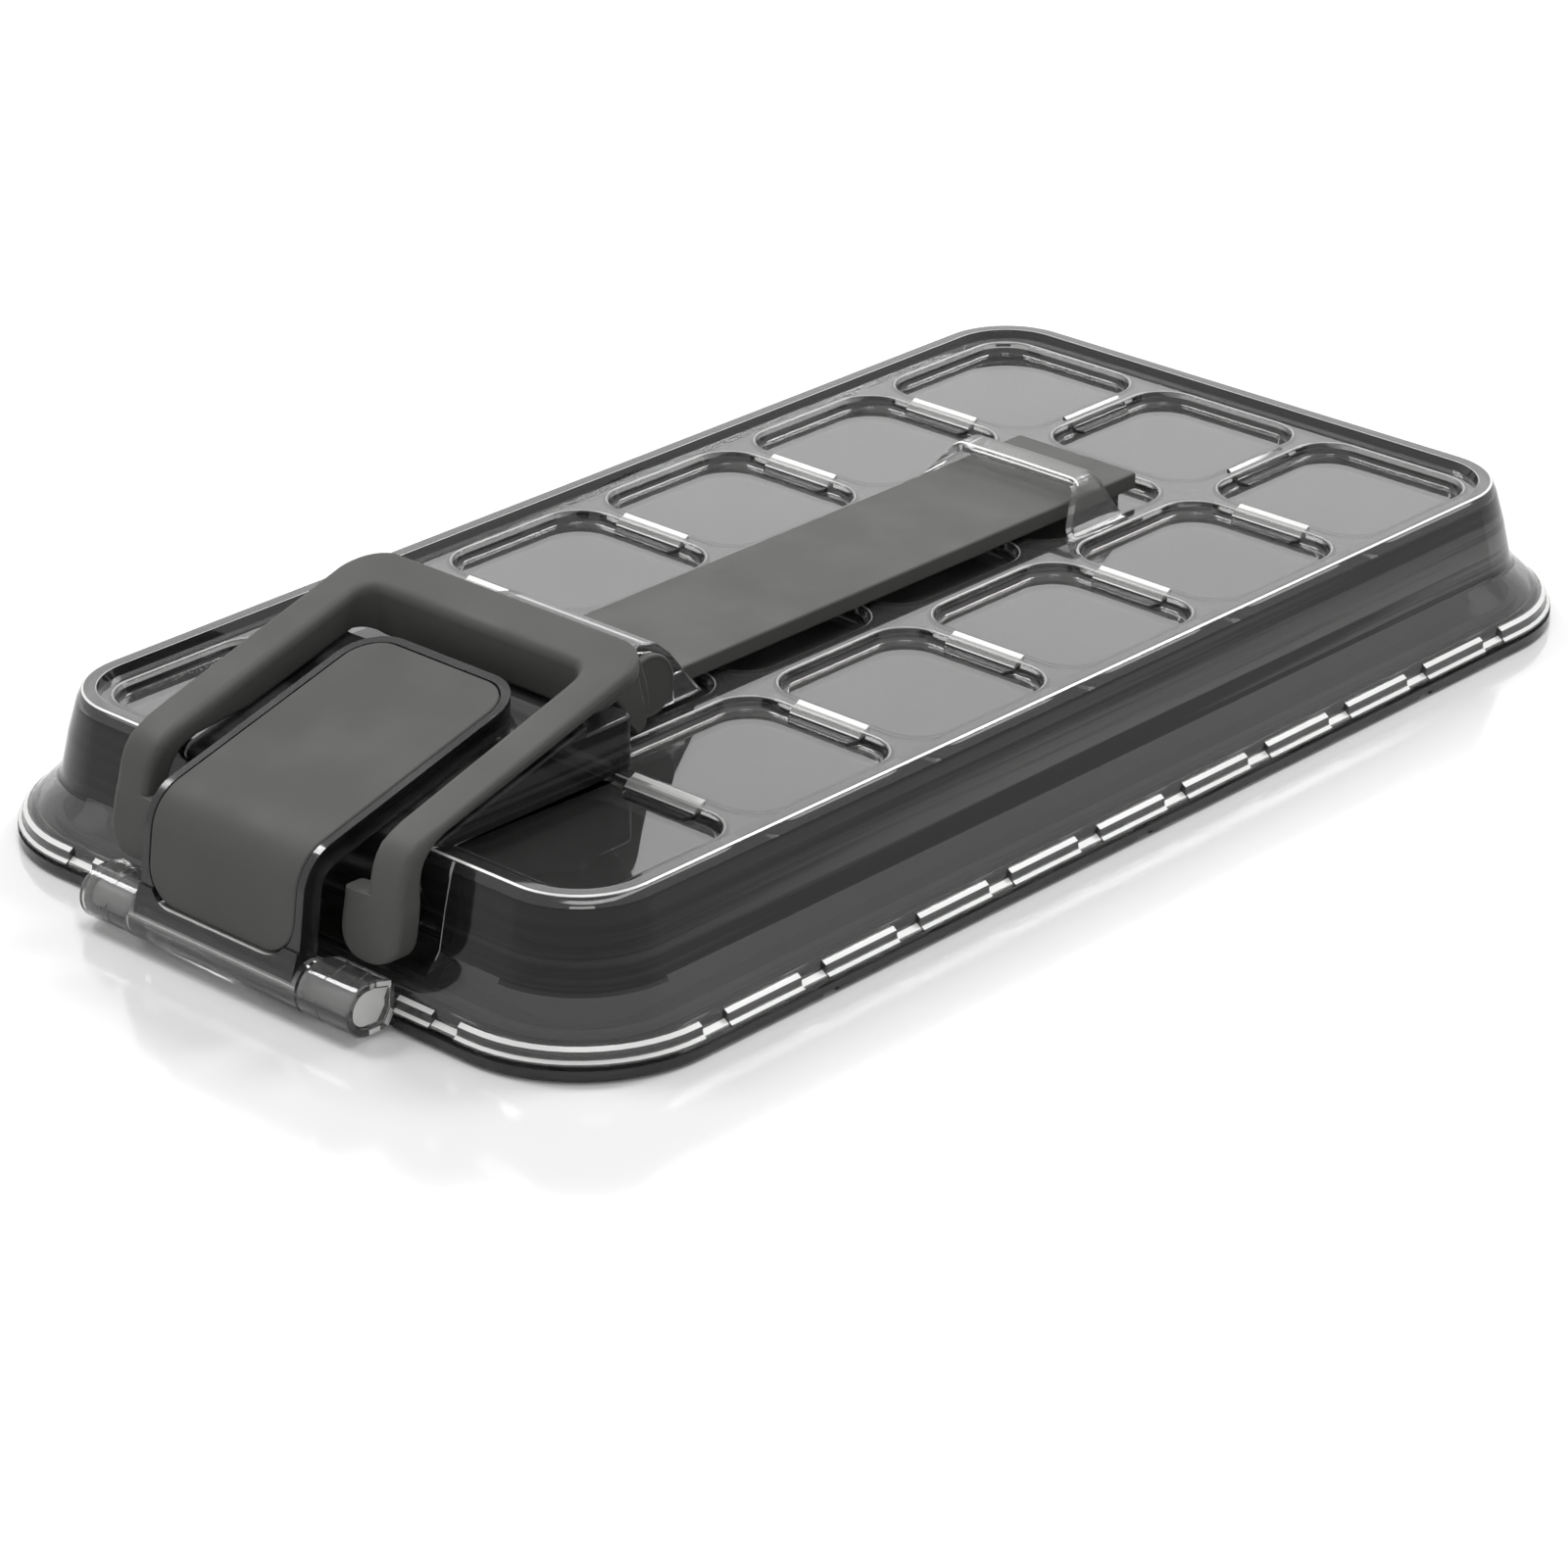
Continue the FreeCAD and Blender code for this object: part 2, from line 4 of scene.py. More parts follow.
import bmesh
import bpy
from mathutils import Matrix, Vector


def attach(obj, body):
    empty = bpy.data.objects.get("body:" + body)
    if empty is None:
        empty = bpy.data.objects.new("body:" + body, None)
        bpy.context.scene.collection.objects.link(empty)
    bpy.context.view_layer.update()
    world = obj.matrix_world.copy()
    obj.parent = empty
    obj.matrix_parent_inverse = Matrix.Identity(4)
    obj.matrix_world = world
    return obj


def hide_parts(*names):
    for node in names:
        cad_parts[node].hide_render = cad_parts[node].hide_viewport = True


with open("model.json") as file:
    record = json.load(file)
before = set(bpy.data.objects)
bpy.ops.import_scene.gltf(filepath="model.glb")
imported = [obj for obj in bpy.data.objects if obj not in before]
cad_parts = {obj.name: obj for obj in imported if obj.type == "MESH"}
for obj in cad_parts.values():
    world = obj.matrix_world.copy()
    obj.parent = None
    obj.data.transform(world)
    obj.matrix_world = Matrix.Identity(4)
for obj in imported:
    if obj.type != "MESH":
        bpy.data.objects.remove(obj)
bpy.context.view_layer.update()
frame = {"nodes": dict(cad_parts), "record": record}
scene = bpy.context.scene
MM = 0.001


# Camera at the photograph's angle. Its place is in metres and its angles in degrees.
CAMERA_PLACE = (0.634106, -0.695985, 0.424571)
CAMERA_DOWN, CAMERA_TURN = 25.009, 42.719
FOCAL_MM, SENSOR_MM = 125.57, 36.0

camera_data = bpy.data.cameras.new("camera")
camera_data.lens = FOCAL_MM
camera_data.sensor_width = SENSOR_MM
camera_data.clip_start = 0.05
camera_data.clip_end = 20.0
camera = bpy.data.objects.new("camera", camera_data)
camera.location = CAMERA_PLACE
camera.rotation_euler = (math.radians(90.0 - CAMERA_DOWN), 0.0, math.radians(CAMERA_TURN))
scene.collection.objects.link(camera)
scene.camera = camera
scene.view_settings.view_transform = "Standard"


# Shader helpers.
def math_node(nodes, links, operation, *values, clamp=False):
    """A Math node whose inputs are numbers or other nodes' outputs."""
    node = nodes.new("ShaderNodeMath")
    node.operation = operation
    node.use_clamp = clamp
    for socket, value in zip(node.inputs, values):
        if isinstance(value, float):
            socket.default_value = value
        else:
            links.new(value, socket)
    return node.outputs[0]


def new_material(name):
    mat = bpy.data.materials.new(name)
    mat.use_nodes = True
    nodes = mat.node_tree.nodes
    return mat, nodes, mat.node_tree.links, nodes["Principled BSDF"]


def noise(nodes, links, scale, stretch=(1.0, 1.0, 1.0), detail=4.0):
    """Noise in the part's own coordinates, stretched along its axes."""
    coords = nodes.new("ShaderNodeTexCoord")
    mapping = nodes.new("ShaderNodeMapping")
    mapping.inputs["Scale"].default_value = stretch
    texture = nodes.new("ShaderNodeTexNoise")
    texture.inputs["Scale"].default_value = scale
    texture.inputs["Detail"].default_value = detail
    links.new(coords.outputs["Object"], mapping.inputs["Vector"])
    links.new(mapping.outputs["Vector"], texture.inputs["Vector"])
    return texture.outputs["Fac"]


def remap(nodes, links, value, low, high, start=0.35, stop=0.65):
    """Takes the range from start to stop to the range from low to high, and clamps it."""
    node = nodes.new("ShaderNodeMapRange")
    node.inputs["From Min"].default_value = start
    node.inputs["From Max"].default_value = stop
    node.inputs["To Min"].default_value = low
    node.inputs["To Max"].default_value = high
    links.new(value, node.inputs["Value"])
    return node.outputs["Result"]


def blend(nodes, links, factor, first, second):
    """A colour between two colours."""
    node = nodes.new("ShaderNodeMix")
    node.data_type = "RGBA"
    node.inputs["A"].default_value = (*first, 1.0)
    node.inputs["B"].default_value = (*second, 1.0)
    links.new(factor, node.inputs["Factor"])
    return node.outputs["Result"]


def bump(nodes, links, bsdf, height, strength, distance=0.0002):
    node = nodes.new("ShaderNodeBump")
    node.inputs["Strength"].default_value = strength
    node.inputs["Distance"].default_value = distance
    links.new(height, node.inputs["Height"])
    links.new(node.outputs["Normal"], bsdf.inputs["Normal"])


def absorb(nodes, links, density):
    """A tint that deepens with thickness."""
    body = nodes.new("ShaderNodeVolumeAbsorption")
    body.inputs["Color"].default_value = (0.0, 0.0, 0.0, 1.0)
    body.inputs["Density"].default_value = density
    links.new(body.outputs[0], nodes["Material Output"].inputs["Volume"])


# World.
LIGHT_LEVEL = 0.5


def build_world():
    """An even grey for light, and white where it is seen, mirrored or looked at through glass."""
    world = bpy.data.worlds.new("studio")
    scene.world = world
    world.use_nodes = True
    nodes, links = world.node_tree.nodes, world.node_tree.links
    nodes.clear()
    out = nodes.new("ShaderNodeOutputWorld")
    mix = nodes.new("ShaderNodeMixShader")
    path = nodes.new("ShaderNodeLightPath")
    direct = math_node(nodes, links, "MAXIMUM", path.outputs["Is Camera Ray"],
                       path.outputs["Is Glossy Ray"])
    shows = math_node(nodes, links, "MAXIMUM", direct, path.outputs["Is Transmission Ray"])
    links.new(shows, mix.inputs["Fac"])
    for slot, strength in ((1, LIGHT_LEVEL), (2, 1.0)):
        background = nodes.new("ShaderNodeBackground")
        background.inputs["Color"].default_value = (1.0, 1.0, 1.0, 1.0)
        background.inputs["Strength"].default_value = strength
        links.new(background.outputs[0], mix.inputs[slot])
    links.new(mix.outputs[0], out.inputs[0])


build_world()


# Materials. Noise scales are per metre, and absorption densities per metre too.
def glass(name, colour, rough=0.03, depth=0.0, ior=1.5):
    """Smoke-tinted moulded plastic with a faint haze that varies, and an absorption depth."""
    mat, nodes, links, bsdf = new_material(name)
    if depth:
        absorb(nodes, links, depth)
    flow = noise(nodes, links, 18.0, (1.0, 1.0, 3.0), 3.0)
    darker = tuple(c * 0.9 for c in colour)
    links.new(blend(nodes, links, remap(nodes, links, flow, 0.0, 1.0), colour, darker),
              bsdf.inputs["Base Color"])
    haze = noise(nodes, links, 60.0, detail=6.0)
    links.new(remap(nodes, links, haze, rough * 0.7, rough * 1.6), bsdf.inputs["Roughness"])
    ripple = noise(nodes, links, 90.0, (1.0, 1.0, 2.0), 2.0)
    bump(nodes, links, bsdf, ripple, 0.015)
    bsdf.inputs["IOR"].default_value = ior
    bsdf.inputs["Transmission Weight"].default_value = 0.96
    return mat


def satin(name, colour, rough=0.5, shine=0.5, grain=0.12):
    """A solid surface with a fine grain, faint rubbed patches and an uneven sheen."""
    mat, nodes, links, bsdf = new_material(name)
    bsdf.inputs["Specular IOR Level"].default_value = shine
    patches = noise(nodes, links, 25.0, detail=5.0)
    rubbed = tuple(min(1.0, c * 1.14) for c in colour)
    links.new(blend(nodes, links, remap(nodes, links, patches, 0.0, 1.0), colour, rubbed),
              bsdf.inputs["Base Color"])
    wear = noise(nodes, links, 70.0, detail=6.0)
    links.new(remap(nodes, links, wear, rough * 0.88, rough * 1.12), bsdf.inputs["Roughness"])
    fine = noise(nodes, links, 1800.0, detail=2.0)
    bump(nodes, links, bsdf, fine, grain, 0.0001)
    return mat


TINT_DENSITY = 150.0
# Painted shade on the wall: the crease's dark line, the Y range over which it darkens towards the
# front, and the heights over which it darkens towards the top.
CREASE_Z, CREASE_HALF = 12.6, 0.24
DARKEST_Y, LIGHTEST_Y = -0.14, -0.02
BAND_LOW, BAND_HIGH, BAND_SHADE = 0.017, 0.0245, 0.3


def wall_look(name, front, light):
    """A less see-through finish with level streaks, and painted shade: a thin dark line at
    the crease, and a shade that deepens towards the front and the top."""
    mat, nodes, links, bsdf = new_material(name)
    absorb(nodes, links, TINT_DENSITY)
    streak = noise(nodes, links, 9.0, (0.4, 0.4, 55.0), 7.0)
    coords = nodes.new("ShaderNodeTexCoord")
    split = nodes.new("ShaderNodeSeparateXYZ")
    links.new(coords.outputs["Object"], split.inputs["Vector"])
    along, height = split.outputs["Y"], split.outputs["Z"]
    # Painted shade: a thin dark line at the crease, darker towards the front, and darker towards
    # the top.
    painted_crease_shade = math_node(nodes, links, "COMPARE", height, CREASE_Z * MM, CREASE_HALF * MM)
    lengthwise = remap(nodes, links, along, front, 1.0, DARKEST_Y, LIGHTEST_Y)
    painted_top_shade = remap(nodes, links, height, 1.0, BAND_SHADE, BAND_LOW, BAND_HIGH)
    shade = math_node(nodes, links, "MULTIPLY",
                      remap(nodes, links, streak, 0.0, 1.0, 0.44, 0.56), lengthwise)
    shade = math_node(nodes, links, "MULTIPLY", shade, painted_top_shade)
    shade = math_node(nodes, links, "SUBTRACT", shade, painted_crease_shade, clamp=True)
    links.new(blend(nodes, links, shade, (0.03, 0.03, 0.0295), (light, light, light * 0.985)),
              bsdf.inputs["Base Color"])
    haze = noise(nodes, links, 60.0, detail=6.0)
    links.new(remap(nodes, links, haze, 0.05, 0.11), bsdf.inputs["Roughness"])
    bump(nodes, links, bsdf, streak, 0.05)
    bsdf.inputs["IOR"].default_value = 1.34
    bsdf.inputs["Transmission Weight"].default_value = 0.6
    return mat


smoke = glass("smoke", (0.6, 0.6, 0.595), depth=TINT_DENSITY)
# The side wall and the hump take the wall's painted shade; the hump's copy is painted lighter to
# lift its shade.
smoke_wall_painted_shade = wall_look("smoke_wall_painted_shade", 0.12, 0.25)
hump_painted_shade = wall_look("hump_painted_shade", 0.9, 0.42)
smoke_thin = glass("smoke_thin", (0.72, 0.72, 0.715), depth=45.0)
bridge_look = glass("bridge_look", (0.8, 0.8, 0.795), depth=25.0, ior=1.2)
frame_smoke = glass("frame_smoke", (0.22, 0.22, 0.217), 0.16, depth=60.0)
# Painted highlights: a pale matt colour on edges and chamfers, standing for bright lines of
# reflected light.
painted_highlight = satin("painted_highlight", (0.8, 0.8, 0.79), 0.3)
# A dimmer painted highlight, for light lines on the pockets' rim chamfers and the recess edges.
painted_edge_highlight = satin("painted_edge_highlight", (0.4, 0.4, 0.395), 0.3)
rail_look = glass("rail_look", (0.8, 0.8, 0.79), 0.08, depth=20.0)
clear = glass("clear", (0.30, 0.30, 0.30), 0.1)
inner_grey = satin("inner_grey", (0.3, 0.3, 0.296), 0.45, grain=0.008)
grey = satin("grey", (0.085, 0.085, 0.082), 0.55, 0.2)
pad = satin("pad", (0.08, 0.08, 0.078), 0.6, 0.2)
seal = satin("seal", (0.2, 0.2, 0.2), 0.5)
steel = satin("steel", (0.3, 0.3, 0.3), 0.3, 0.5, 0.05)

looks = {
    smoke: ["cover_shell"],
    smoke_thin: ["rim_rail", "pivot_housing", "hinge_knuckle_right", "hinge_knuckle_left"],
    bridge_look: ["far_bridge"],
    frame_smoke: ["lid_frame"],
    clear: ["base_tray"],
    inner_grey: ["cell_grid"],
    grey: ["lever_frame", "lever_cam", "pivot_disc_right", "pivot_disc_left", "draw_bar",
           "bar_yoke", "bar_hook"],
    pad: ["lid_pad"],
    seal: ["perimeter_seal", "spout_collar", "lid_gasket"],
    steel: ["lid_pin", "lever_axle"],
}
body_of_node = {name: body for body, names in frame["record"]["behaviour"]["bodies"].items()
                for name in names}

COPY_SEGMENTS, COPY_ANGLE = 3, 28.0
LID_RAIL_TOP = 10.3


def rounded_copy(name, width):
    """The CAD node again, with its hard edges rounded as a mould leaves them."""
    source = frame["nodes"][name]
    bm = bmesh.new()
    bm.from_mesh(source.data)
    bmesh.ops.remove_doubles(bm, verts=bm.verts, dist=2e-6)
    bmesh.ops.dissolve_limit(bm, angle_limit=math.radians(0.4), use_dissolve_boundaries=False,
                             verts=bm.verts, edges=bm.edges)
    mesh = bpy.data.meshes.new(name + "_soft")
    bm.to_mesh(mesh)
    bm.free()
    obj = bpy.data.objects.new(name + "_soft", mesh)
    scene.collection.objects.link(obj)
    for poly in mesh.polygons:
        poly.use_smooth = True
    bevel = obj.modifiers.new("bevel", "BEVEL")
    bevel.width = width * MM
    bevel.segments = COPY_SEGMENTS
    bevel.limit_method = "ANGLE"
    bevel.angle_limit = math.radians(COPY_ANGLE)
    bevel.miter_outer = "MITER_ARC"
    flat = obj.modifiers.new("normals", "WEIGHTED_NORMAL")
    flat.keep_sharp = True
    mesh.materials.append(source.data.materials[0])
    if name == "lid_frame":
        # The lid's lower rail is clearer than its sides.
        mesh.materials.append(rail_look)
        for poly in mesh.polygons:
            if poly.center.z < LID_RAIL_TOP * MM:
                poly.material_index = 1
    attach(obj, body_of_node[name])
    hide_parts(name)


for material, names in looks.items():
    for name in names:
        obj = frame["nodes"][name]
        obj.data.materials.clear()
        obj.data.materials.append(material)
for name, width in (("draw_bar", 0.5), ("pivot_housing", 0.7), ("lid_frame", 0.4),
                    ("lid_pad", 0.5)):
    rounded_copy(name, width)


# Mesh helpers. From here on lengths are in mm, and are scaled when a piece is made.
LARGEST_SHARE = 0.48
LEAST_REACH = 0.01


def cut_corner(a, b, c, radius, steps, least=0.0):
    """Points of a curve that cuts the corner at b, or b alone where there is no room for one."""
    reach = min(radius, (a - b).length * LARGEST_SHARE, (c - b).length * LARGEST_SHARE)
    if reach < least:
        return [b]
    first = b + (a - b).normalized() * reach
    last = b + (c - b).normalized() * reach
    shares = [k / steps for k in range(steps + 1)]
    return [first.lerp(b, t).lerp(b.lerp(last, t), t) for t in shares]


def soften(points, radii, steps=4):
    """A line of points with its inner corners rounded."""
    if not isinstance(radii, (list, tuple)):
        radii = [radii] * (len(points) - 2)
    result = [Vector(points[0])]
    for before, here, after, radius in zip(points, points[1:], points[2:], radii):
        result += cut_corner(Vector(before), Vector(here), Vector(after), radius, steps,
                             LEAST_REACH)
    result.append(Vector(points[-1]))
    return result


def soften_loop(points, radii, steps=3):
    """A closed polygon of 3-D points with its corners rounded, always with the same count."""
    result = []
    for i in range(len(points)):
        before, after = points[i - 1], points[(i + 1) % len(points)]
        result += cut_corner(Vector(before), Vector(points[i]), Vector(after), radii[i], steps)
    return result


def skin(bm, lower, upper):
    """Faces between two closed loops of vertices."""
    count = len(lower)
    for i in range(count):
        j = (i + 1) % count
        bm.faces.new((lower[i], lower[j], upper[j], upper[i]))


def sweep(sections):
    """A skin over a row of sections, each a closed loop of points, with capped ends."""
    bm = bmesh.new()
    loops = [[bm.verts.new(point) for point in section] for section in sections]
    for a, b in zip(loops, loops[1:]):
        skin(bm, a, b)
    bm.faces.new(loops[0])
    bm.faces.new(loops[-1])
    return bm


def add_sweep(bm, sections):
    """Adds another closed sweep to a mesh."""
    part = sweep(sections)
    mesh = bpy.data.meshes.new("part")
    part.to_mesh(mesh)
    part.free()
    bm.from_mesh(mesh)
    bpy.data.meshes.remove(mesh)


def set_normals(mesh, limit=38.0):
    """Smooth shading that leaves flat faces flat: every corner takes the mean of the faces
    round it that turn less than the limit, weighted by their area."""
    near = math.cos(math.radians(limit))
    around = [[] for _ in mesh.vertices]
    for poly in mesh.polygons:
        for vert in poly.vertices:
            around[vert].append((poly.normal.copy(), poly.area))
    normals = []
    for poly in mesh.polygons:
        own = poly.normal
        for vert in poly.vertices:
            total = Vector()
            for normal, weight in around[vert]:
                if normal.dot(own) > near:
                    total += normal * weight
            normals.append(total.normalized() if total.length > 0 else own.copy())
    mesh.normals_split_custom_set(normals)


def make_piece(name, bm, material, body, nodes=()):
    """Turns a bmesh in mm into a piece that rides on a body and replaces CAD nodes."""
    bmesh.ops.scale(bm, vec=(MM, MM, MM), verts=bm.verts)
    bmesh.ops.recalc_face_normals(bm, faces=bm.faces)
    mesh = bpy.data.meshes.new(name)
    bm.to_mesh(mesh)
    bm.free()
    obj = bpy.data.objects.new(name, mesh)
    scene.collection.objects.link(obj)
    for poly in mesh.polygons:
        poly.use_smooth = True
    set_normals(mesh)
    mesh.materials.append(material)
    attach(obj, body)
    if nodes:
        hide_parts(*nodes)
    return obj


def fill(bm, loops):
    """Fills a flat region between its outer loop and the loops of its holes."""
    edges = []
    for loop in loops:
        for vert, after in zip(loop, loop[1:] + loop[:1]):
            edges.append(bm.edges.get((vert, after)) or bm.edges.new((vert, after)))
    bmesh.ops.triangle_fill(bm, use_beauty=True, use_dissolve=False, edges=edges)


def rounded_square(hx, hy, radius, cx=0.0, cy=0.0, steps=7):
    """Points of a rectangle with half sizes hx and hy and rounded corners."""
    points = []
    for quarter, (sx, sy) in enumerate(((1, 1), (-1, 1), (-1, -1), (1, -1))):
        for k in range(steps + 1):
            turn = math.radians(90.0 * (quarter + k / steps))
            points.append((cx + sx * (hx - radius) + radius * math.cos(turn),
                           cy + sy * (hy - radius) + radius * math.sin(turn)))
    return points


# The cover. Its outline is a rounded rectangle at every height, given by the
# centres of its corners and a reach beyond them.
CORNER_X, CORNER_Y = 52.0, 115.4
RIDGE = 26.46           # top of the ridges between the pockets
LIP = 28.2              # top of the lip round them
FLOOR, UNDER = 24.1, 24.9   # the pockets' floors, and the underside between the pockets
SHELF = 8.6             # floor of the step at the front
WALL = 1.9
PITCH = 42.0
RECESS_Y = -131.5
RECESS_HALF = 37.2
HUMP_HALF = 31.0
POCKET_HALF, POCKET_CORNER = 19.25, 7.7
UNDER_HALF, UNDER_CORNER = 20.2, 8.8
ARC_STEPS, LONG_STEPS, SHORT_STEPS = 12, 12, 6


def outline(front_marks):
    """Stations round the tray: centre, outward direction, and a mark for the recess."""
    result = []

    def line(x0, y0, x1, y1, steps, nx, ny):
        for k in range(steps):
            result.append((x0 + (x1 - x0) * k / steps, y0 + (y1 - y0) * k / steps, nx, ny, None))

    def arc(cx, cy, first):
        for k in range(ARC_STEPS):
            turn = math.radians(first + 90.0 * k / ARC_STEPS)
            result.append((cx, cy, math.cos(turn), math.sin(turn), None))

    line(CORNER_X, -CORNER_Y, CORNER_X, CORNER_Y, LONG_STEPS, 1.0, 0.0)
    arc(CORNER_X, CORNER_Y, 0.0)
    line(CORNER_X, CORNER_Y, -CORNER_X, CORNER_Y, SHORT_STEPS, 0.0, 1.0)
    arc(-CORNER_X, CORNER_Y, 90.0)
    line(-CORNER_X, CORNER_Y, -CORNER_X, -CORNER_Y, LONG_STEPS, -1.0, 0.0)
    arc(-CORNER_X, -CORNER_Y, 180.0)
    plain_marks = [(-CORNER_X, None), (-45.0, None), (45.0, None)]
    for x, mark in sorted(plain_marks + front_marks, key=lambda entry: entry[0]):
        result.append((x, -CORNER_Y, 0.0, -1.0, mark))
    arc(CORNER_X, -CORNER_Y, 270.0)
    return result


def recess_marks(half):
    """Front stations with rounded corners where the wall steps back."""
    marks = []
    corner = ((0.5, "out", 0.0), (0.15, "out", 0.15), (0.002, "out", 0.5), (0.0, "in", 0.5),
              (-0.15, "in", 0.15), (-0.5, "in", 0.0))
    for side in (-1, 1):
        for dx, kind, depth in corner:
            marks.append((side * (half + dx), (kind, depth)))
        for x in (HUMP_HALF + 0.06, HUMP_HALF - 0.06, 20.0):
            marks.append((side * x, ("in", 0.0)))
    marks.append((0.0, ("in", 0.0)))
    return marks


def level(bm, stations, reach, z, recess_y=None, flatten=False):
    """One loop of vertices round the tray, stepped back at the front if asked, and kept
    under the hump if flatten is set."""
    loop = []
    for cx, cy, nx, ny, mark in stations:
        x, y = cx + reach * nx, cy + reach * ny
        height = z
        if mark and recess_y is not None and y < recess_y:
            kind, depth = mark
            depth = min(depth, (recess_y - y) / 2.0)
            y = y + depth if kind == "out" else recess_y - depth
        if flatten and mark and abs(x) < HUMP_HALF:
            height = min(z, RIDGE)
        loop.append(bm.verts.new((x, y, height)))
    return loop


def wall_levels(bm, half, profile, shelf, recess_y, flatten=False):
    """The skin of the wall along a profile of reach and height: stepped back above the
    shelf, and full below it."""
    stations = outline(recess_marks(half))
    loops = []
    above = True
    for reach, z in profile:
        if above and z < shelf:
            share = (last[1] - shelf) / (last[1] - z)
            edge = last[0] + (reach - last[0]) * share
            loops.append(level(bm, stations, edge, shelf, recess_y))
            loops.append(level(bm, stations, edge, shelf - 0.001))
            above = False
        loops.append(level(bm, stations, reach, z, recess_y if above else None, flatten))
        last = (reach, z)
    for a, b in zip(loops, loops[1:]):
        skin(bm, a, b)
    return loops


def pockets(bm, centres, profile, half, corner):
    """A pocket at each centre, along a profile of half size and height. Gives back the
    loops of their rims."""
    rims = []
    for cx, cy in centres:
        rings = []
        for size, z in profile:
            points = rounded_square(size, size, corner - (half - size), cx, cy)
            rings.append([bm.verts.new((x, y, z)) for x, y in points])
        for a, b in zip(rings, rings[1:]):
            skin(bm, a, b)
        bm.faces.new(rings[-1])
        rims.append(rings[0])
    return rims


def cover_look(centre, normal):
    """Number of the cover's material on a face, from its centre in mm and its normal: the
    side wall's painted shade, and painted highlights on the lip's edge, the pockets' rim
    chamfers and the recess edges.
    """
    wall_shade_number, highlight_number, edge_highlight_number = 1, 2, 3
    x, y, z = centre
    reach = max(abs(x) - CORNER_X, abs(y) - CORNER_Y)
    steep = abs(normal.z) < 0.6
    recess_edge = RECESS_HALF - 0.2 < abs(x) < RECESS_HALF + 0.55 and y < -131.0 and 9.0 < z < 27.5
    outside = (normal.x * x > 0.0 and reach > 12.0
               or abs(y) > CORNER_Y and normal.y * y > 0.0)
    on_lip = abs(x) > 66.0 or abs(y) > 129.0 or reach > 9.0
    # A painted highlight on the recess's edges.
    if recess_edge and steep:
        return edge_highlight_number
    # The outer side wall, with its painted shade.
    if outside and steep and 10.0 < z < 26.2 and reach > 10.0:
        return wall_shade_number
    # A painted highlight on the pockets' rim chamfers.
    if 26.28 < z < 26.45 and 0.4 < normal.z < 0.95 and reach < 13.0:
        return edge_highlight_number
    # A painted highlight on the lip's outer edge.
    if 27.88 < z < 28.19 and 0.8 < normal.z < 0.9 and on_lip:
        return highlight_number
    return 0


def build_cover():
    bm = bmesh.new()
    wall = soften([(11.9, RIDGE), (12.5, LIP), (14.75, LIP), (15.3, 27.86), (16.2, 26.0),
                   (17.9, 20.0), (19.5, 12.6)], [0.2, 0.12, 0.12, 0.6, 0.5], 3)
    foot = soften([(19.5, 12.6), (20.7, 11.0), (22.9, 8.8)], [1.0], 3)
    flange = soften([(22.9, 8.8), (25.3, 6.4), (26.1, 5.2), (26.1, 2.5)], [1.0, 0.5], 3)
    outer = wall_levels(bm, RECESS_HALF, wall + foot[1:] + flange[1:], SHELF, RECESS_Y, True)
    inside = soften([(14.6, UNDER), (17.6, 12.4), (19.0, 9.9), (21.7, 7.2), (23.4, 5.4),
                     (23.4, 2.5)], [0.8, 0.8, 0.8, 0.6], 2)
    inner = wall_levels(bm, RECESS_HALF + WALL, inside, SHELF - WALL, RECESS_Y + WALL)
    skin(bm, outer[-1], inner[-1])
    upper_profile = soften([(20.3, RIDGE), (19.55, RIDGE), (19.3, RIDGE - 0.18),
                            (19.0, RIDGE - 0.22), (18.4, FLOOR), (12.0, FLOOR)],
                           [0.08, 0.08, 0.2, 0.9], 4)[1:-1]
    lower_profile = soften([(20.3, UNDER), (UNDER_HALF, UNDER), (19.2, FLOOR - 1.5),
                            (12.0, FLOOR - 1.5)], [0.3, 1.2], 3)[1:-1]
    rims = []
    under = []
    for column in (-1, 0, 1):
        for row in range(6):
            centre = (column * PITCH, (row - 2.5) * PITCH)
            if column == 0 and centre[1] < -2.0 * PITCH:
                continue
            rims += pockets(bm, [centre], upper_profile, POCKET_HALF, POCKET_CORNER)
            under += pockets(bm, [centre], lower_profile, UNDER_HALF, UNDER_CORNER)
    throat = rounded_square(28.9, 21.9, 2.0, 0.0, -104.4, 3)
    upper = [bm.verts.new((x, y, RIDGE)) for x, y in throat]
    lower = [bm.verts.new((x, y, UNDER)) for x, y in throat]
    skin(bm, upper, lower)
    fill(bm, [outer[0]] + rims + [upper])
    fill(bm, [inner[0], lower] + under)
    obj = make_piece("cover", bm, smoke, "cover", ["cover_shell"])
    # The side wall's painted shade, and the painted highlights.
    for extra in (smoke_wall_painted_shade, painted_highlight, painted_edge_highlight):
        obj.data.materials.append(extra)
    for poly in obj.data.polygons:
        poly.material_index = cover_look(poly.center / MM, poly.normal)


build_cover()


# The lever: a flat frame whose arms bend over the front and end in feet.
LEVER_SLOPE = 0.295
ARM_OUT, ARM_IN = 35.8, 27.4
BAR_REAR, BAR_FRONT = -79.7, -88.6
FOOT_LOW, FOOT_HIGH, FOOT_CORNER, FOOT_INSIDE = 11.4, 22.3, 5.0, 22.0


def lever_top(y):
    return 45.3 + LEVER_SLOPE * (y + 94.0)


def arm_corners(ty, tz, by, bz, wedge, inside, outside):
    """Five corners of an arm's section: the wedge thins its outer edge."""
    drop = 1.0 - wedge * 0.68
    ly, lz = ty + (by - ty) * drop, tz + (bz - tz) * drop
    reach = outside - wedge * 5.4 - 0.3
    return ((outside, ty, tz), (outside, ly, lz), (reach, by, bz), (inside, by, bz),
            (inside, ty, tz))


